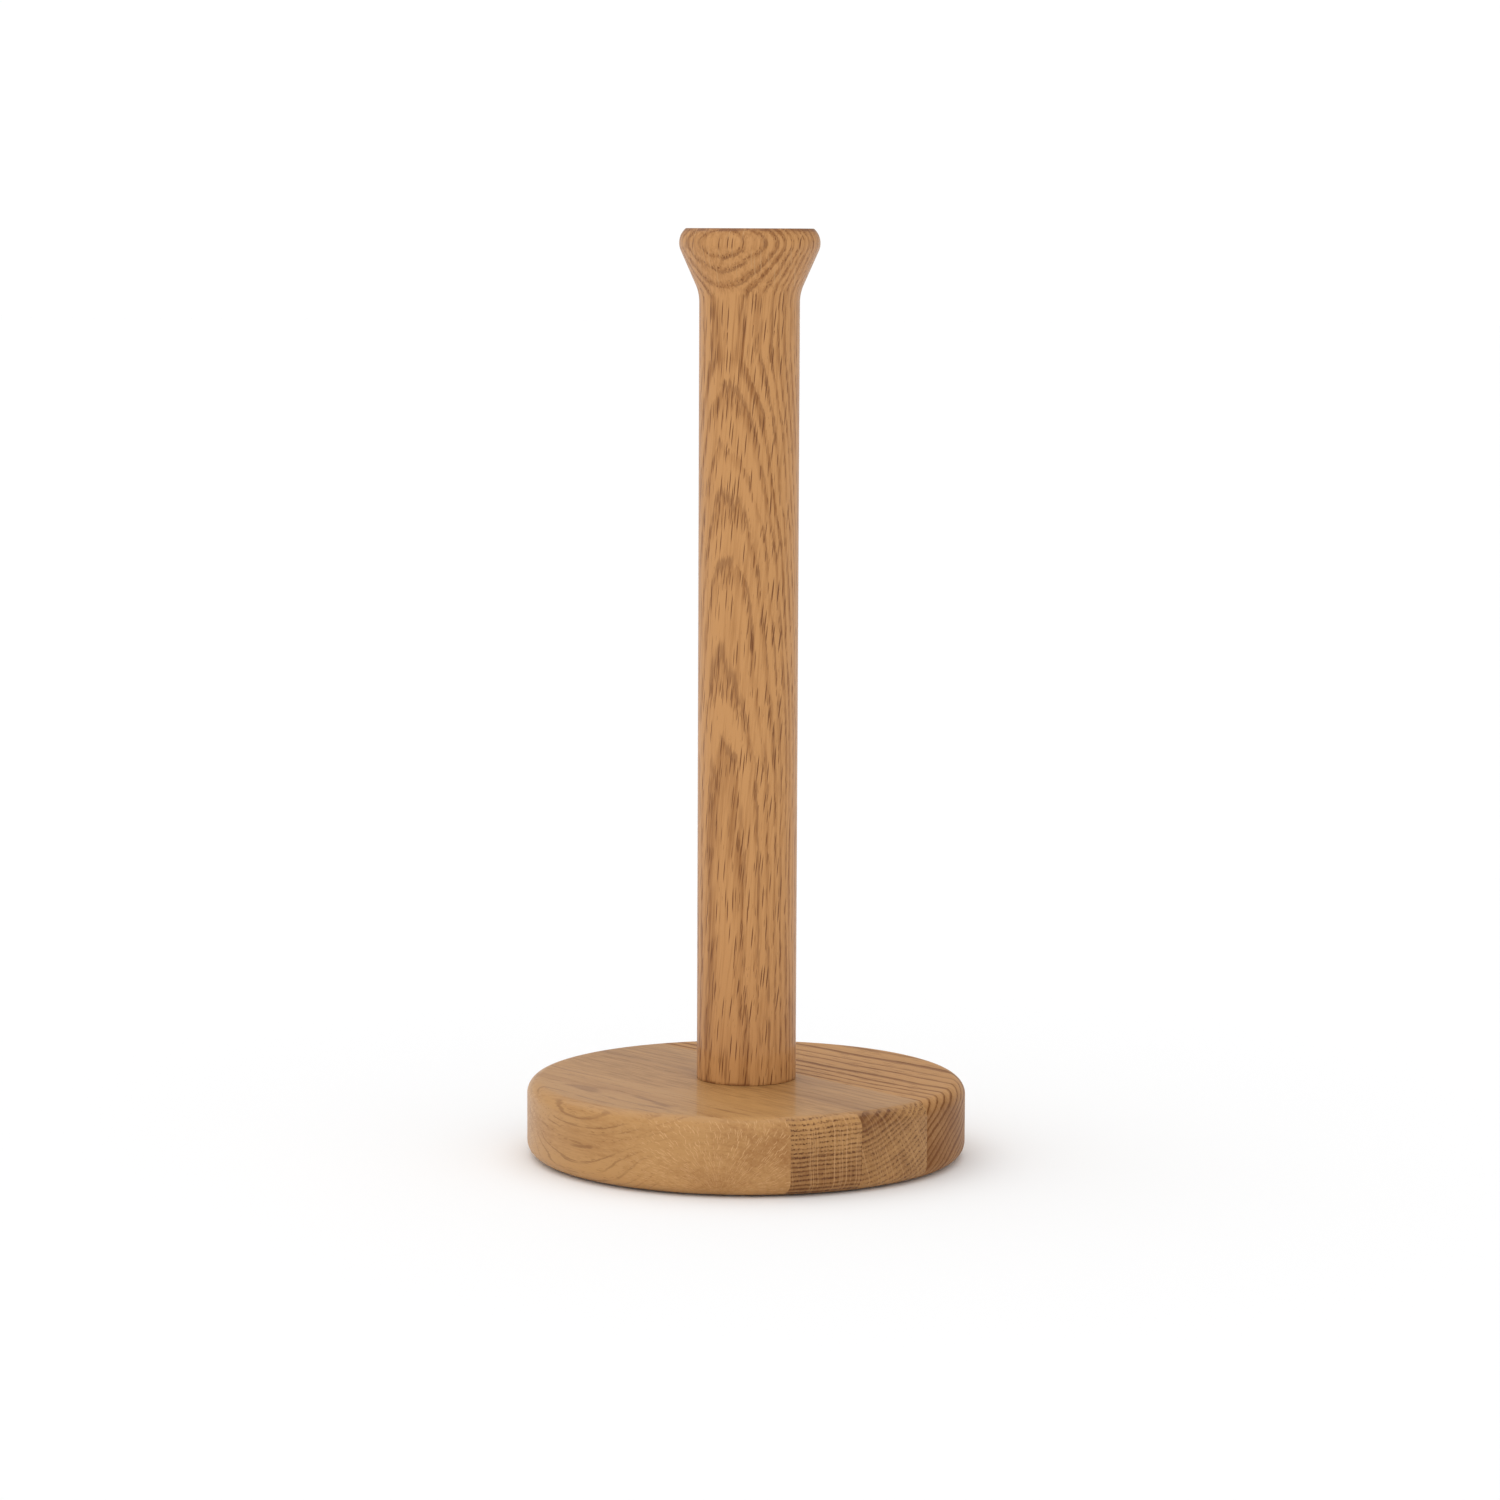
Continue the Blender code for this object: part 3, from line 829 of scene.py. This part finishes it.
# The cup turned from one profile: pole, bore floor, fillet, bore wall, mouth arc, flange, outside
# wall, and back to the pole underneath.
def makeCup():
    c = cup
    bottom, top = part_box("candle_cup")[0][2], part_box("candle_cup")[1][2]
    floor, outside, under = top - c["boreDepth"], c["bore"] + c["wall"], top - c["flangeThick"]
    fillet, mouth, chamfer = c["floorFillet"], c["mouthRadius"], c["chamfer"]
    corners = np.concatenate([
        [[0, floor]],
        arcPath((c["bore"] - fillet, floor + fillet), fillet, -math.pi / 2, 0, 16),
        arcPath((c["bore"] + mouth, top - mouth), mouth, math.pi, math.pi / 2, 16),
        [[c["flange"] - chamfer, top], [c["flange"], top - chamfer], [c["flange"], under],
         [outside, under], [outside, bottom + chamfer], [outside - chamfer, bottom],
         [0, bottom]],
    ])
    steps = {"ease": 0.00012, "longStep": 0.002, "turnStep": math.radians(9), "fine": 0.00002}
    profile, edge = easedPath(corners, **steps)
    made = turnedSurface("brassCup", profile, edge, c["around"])
    made.data.materials.append(metalMaterial("satinBrass", c["finish"], c["wear"]))
    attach(made, "cup")
    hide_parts("candle_cup")
    return made


pad = {
    "radius": 0.058,
    "uneven": 0.0005,  # how far the cut edge wanders inwards
    "edgeRadius": 0.0006,
    "dimple": 0.00012,
    "around": 360,
    "dark": (0.085, 0.060, 0.042, 1),
    "pale": (0.225, 0.158, 0.105, 1),
}


# The pad: rings of radius r(a) = radius - uneven * (1 + waves in a) / 2, a rounded edge top and
# bottom, and a lower face that rises by up to `dimple` in slow waves across x and y.
def makePad():
    c = pad
    bottom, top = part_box("felt_pad")[0][2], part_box("felt_pad")[1][2]
    a = np.linspace(0, 2 * np.pi, c["around"], endpoint=False)
    waves = 0.5 * np.sin(3 * a + 0.7) + 0.3 * np.sin(11 * a + 2.1) + 0.2 * np.sin(29 * a + 4.0)
    rim = c["radius"] - c["uneven"] * (1 + waves) / 2
    share = np.linspace(0, 1, 30)[:, None]
    e = c["edgeRadius"]
    arc = np.linspace(-math.pi / 2, 0, 7)[:, None]
    lower = np.concatenate([share * (rim - e), (rim - e) + e * np.cos(arc[1:])])
    lowerZ = np.concatenate([0 * share, e + e * np.sin(arc[1:])]) + 0 * a + bottom
    upper, upperZ = lower[::-1], top + bottom - lowerZ[::-1]
    r, z = np.concatenate([lower, upper]), np.concatenate([lowerZ, upperZ])
    x, y = r * np.cos(a), r * np.sin(a)
    ripple = 0.5 + 0.25 * np.sin(310 * x + 140 * y) + 0.25 * np.sin(-170 * x + 260 * y + 1.3)
    inner = np.clip((c["radius"] - 0.002 - r) / 0.004, 0, 1)
    under = np.concatenate([np.ones(len(lower)), np.zeros(len(upper))])[:, None]
    z = z + c["dimple"] * ripple * inner * under * (r > 0)
    made = loopSurface("feltPad", np.stack([x, y, z], -1), np.zeros(len(r)))

    material, tree, shader = newMaterial("brownFelt")
    links = {"Vector": objectPlace(tree), "Dark": c["dark"], "Pale": c["pale"]}
    felt = useGroup(tree, feltFibre, links)
    relief = {"Height": felt["Height"], "Strength": 0.8, "Distance": 0.0002}
    bump = addNode(tree, "ShaderNodeBump", relief).outputs[0]
    tree.links.new(felt["Color"], shader.inputs["Base Color"])
    tree.links.new(bump, shader.inputs["Normal"])
    shader.inputs["Roughness"].default_value = 0.95
    shader.inputs["Specular IOR Level"].default_value = 0.1
    shader.inputs["Sheen Weight"].default_value = 0.12
    shader.inputs["Sheen Roughness"].default_value = 0.6
    made.data.materials.append(material)
    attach(made, "stand")
    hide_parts("felt_pad")
    return made


# The fixings keep the CAD's shapes and take a better finish: node, material name, and values.
fixings = {
    "clamp_bolt": ("zincBolt", {
        **zinc, "Groove": 0.00025, "Tarnish": 0.7, "Spots": 400.0, "Smooth": 0.28, "Rough": 0.5,
    }),
    "bolt_washer": ("zincWasher", {
        **zinc, "Groove": 0.0004, "Tarnish": 0.6, "Spots": 300.0, "Smooth": 0.3, "Rough": 0.55,
    }),
    "threaded_insert": ("insertBrass", {
        **brass, "Groove": 0.0003, "Tarnish": 0.5, "Spots": 300.0, "Smooth": 0.25, "Rough": 0.45,
    }),
}


def finishFixings():
    for node, (name, look) in fixings.items():
        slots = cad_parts[node].data.materials
        made = metalMaterial(name, look)
        if len(slots) == 0:
            slots.append(made)
        for index in range(len(slots)):
            slots[index] = made


makeCup()
makePad()
finishFixings()
print("cup, pad and fixings made")


studio = {
    "distance": 1.520,  # the camera stands this far in front of the axis
    "aside": 0.0008,
    "belowTop": 0.002,
    "pitch": 0.1141,  # radians, and so is the roll
    "roll": 0.0044,
    "lens": 108.0,
    "floorSize": 30.0,
    "floorLevel": -0.00005,
    "floorWhite": (0.938, 0.940, 0.942, 1),
    "white": 1.02,  # what the camera sees of the sky
    "sky": 0.82,
    "skyFront": 0.55,  # how much brighter it is in front, and on the left
    "skyLeft": 0.15,
    "backdrop": 0.65,
    "backdropFall": 6.0,
    "sun": 0.85,
    "sunAngle": math.radians(70),
    "sunFrom": (-0.15, 0.40, 1.0),
}


# The sky is white to the camera. As light it is brighter in front and a little to the left, and
# has a low white backdrop behind, which the flat tops reflect.
def makeSky(scene):
    world = bpy.data.worlds.new("whiteStudio")
    scene.world = world
    world.use_nodes = True
    tree = world.node_tree
    plus, less, times = sumsOf(tree)
    background = tree.nodes["Background"]
    background.inputs["Color"].default_value = (1, 1, 1, 1)
    ray = addNode(tree, "ShaderNodeLightPath").outputs["Is Camera Ray"]
    heading = addNode(tree, "ShaderNodeTexCoord").outputs["Generated"]
    brightSide = (-studio["skyLeft"], -studio["skyFront"], 0.0)
    towards = calcVector(tree, "DOT_PRODUCT", heading, brightSide)
    light = times(plus(towards, 1.0), studio["sky"])
    split = splitXyz(tree, heading)
    low = less(1.0, calc(tree, "ABSOLUTE", split[2]))
    low = calc(tree, "POWER", low, studio["backdropFall"])
    behind = calc(tree, "MAXIMUM", split[1], 0.0)
    light = plus(light, times(times(low, behind), studio["backdrop"]))
    levels = {0: ray, 2: light, 3: studio["white"]}
    level = addNode(tree, "ShaderNodeMix", levels, data_type="FLOAT").outputs[0]
    tree.links.new(level, background.inputs["Strength"])


# The camera: right and up axes turned by the roll about a forward axis pitched down.
def makeCamera(scene):
    p, r = studio["pitch"], studio["roll"]
    right, rise = np.array([1, 0, 0]), np.array([0, math.sin(p), math.cos(p)])
    ahead = np.array([0, math.cos(p), -math.sin(p)])
    pose = np.eye(4)
    pose[:3, 0] = right * math.cos(r) + rise * math.sin(r)
    pose[:3, 1] = rise * math.cos(r) - right * math.sin(r)
    pose[:3, 2] = -ahead
    pose[:3, 3] = (studio["aside"], -studio["distance"], headTop - studio["belowTop"])
    lens = bpy.data.cameras.new("studioCamera")
    lens.lens, lens.sensor_width, lens.clip_end = studio["lens"], 36.0, 100.0
    camera = bpy.data.objects.new("studioCamera", lens)
    camera.matrix_world = Matrix(pose.tolist())
    scene.collection.objects.link(camera)
    scene.camera = camera


def makeFloor(scene):
    half, level = studio["floorSize"] / 2, studio["floorLevel"]
    corners = ((-half, -half), (half, -half), (half, half), (-half, half))
    floorMesh = bpy.data.meshes.new("paleFloor")
    floorMesh.from_pydata([(x, y, level) for x, y in corners], [], [(0, 1, 2, 3)])
    floor = bpy.data.objects.new("paleFloor", floorMesh)
    scene.collection.objects.link(floor)
    material, _, shader = newMaterial("paleFloor")
    shader.inputs["Base Color"].default_value = studio["floorWhite"]
    shader.inputs["Roughness"].default_value = 0.9
    shader.inputs["Specular IOR Level"].default_value = 0.0
    floorMesh.materials.append(material)


def makeSun(scene):
    sun = bpy.data.lights.new("softSun", "SUN")
    sun.energy, sun.angle = studio["sun"], studio["sunAngle"]
    lamp = bpy.data.objects.new("softSun", sun)
    turn = Vector(studio["sunFrom"]).to_track_quat("Z", "Y")
    lamp.matrix_world = turn.to_matrix().to_4x4()
    scene.collection.objects.link(lamp)


def makeStudio():
    scene = bpy.context.scene
    scene.view_settings.view_transform = "Standard"
    makeSky(scene)
    makeCamera(scene)
    makeFloor(scene)
    makeSun(scene)


makeStudio()
print("studio made")
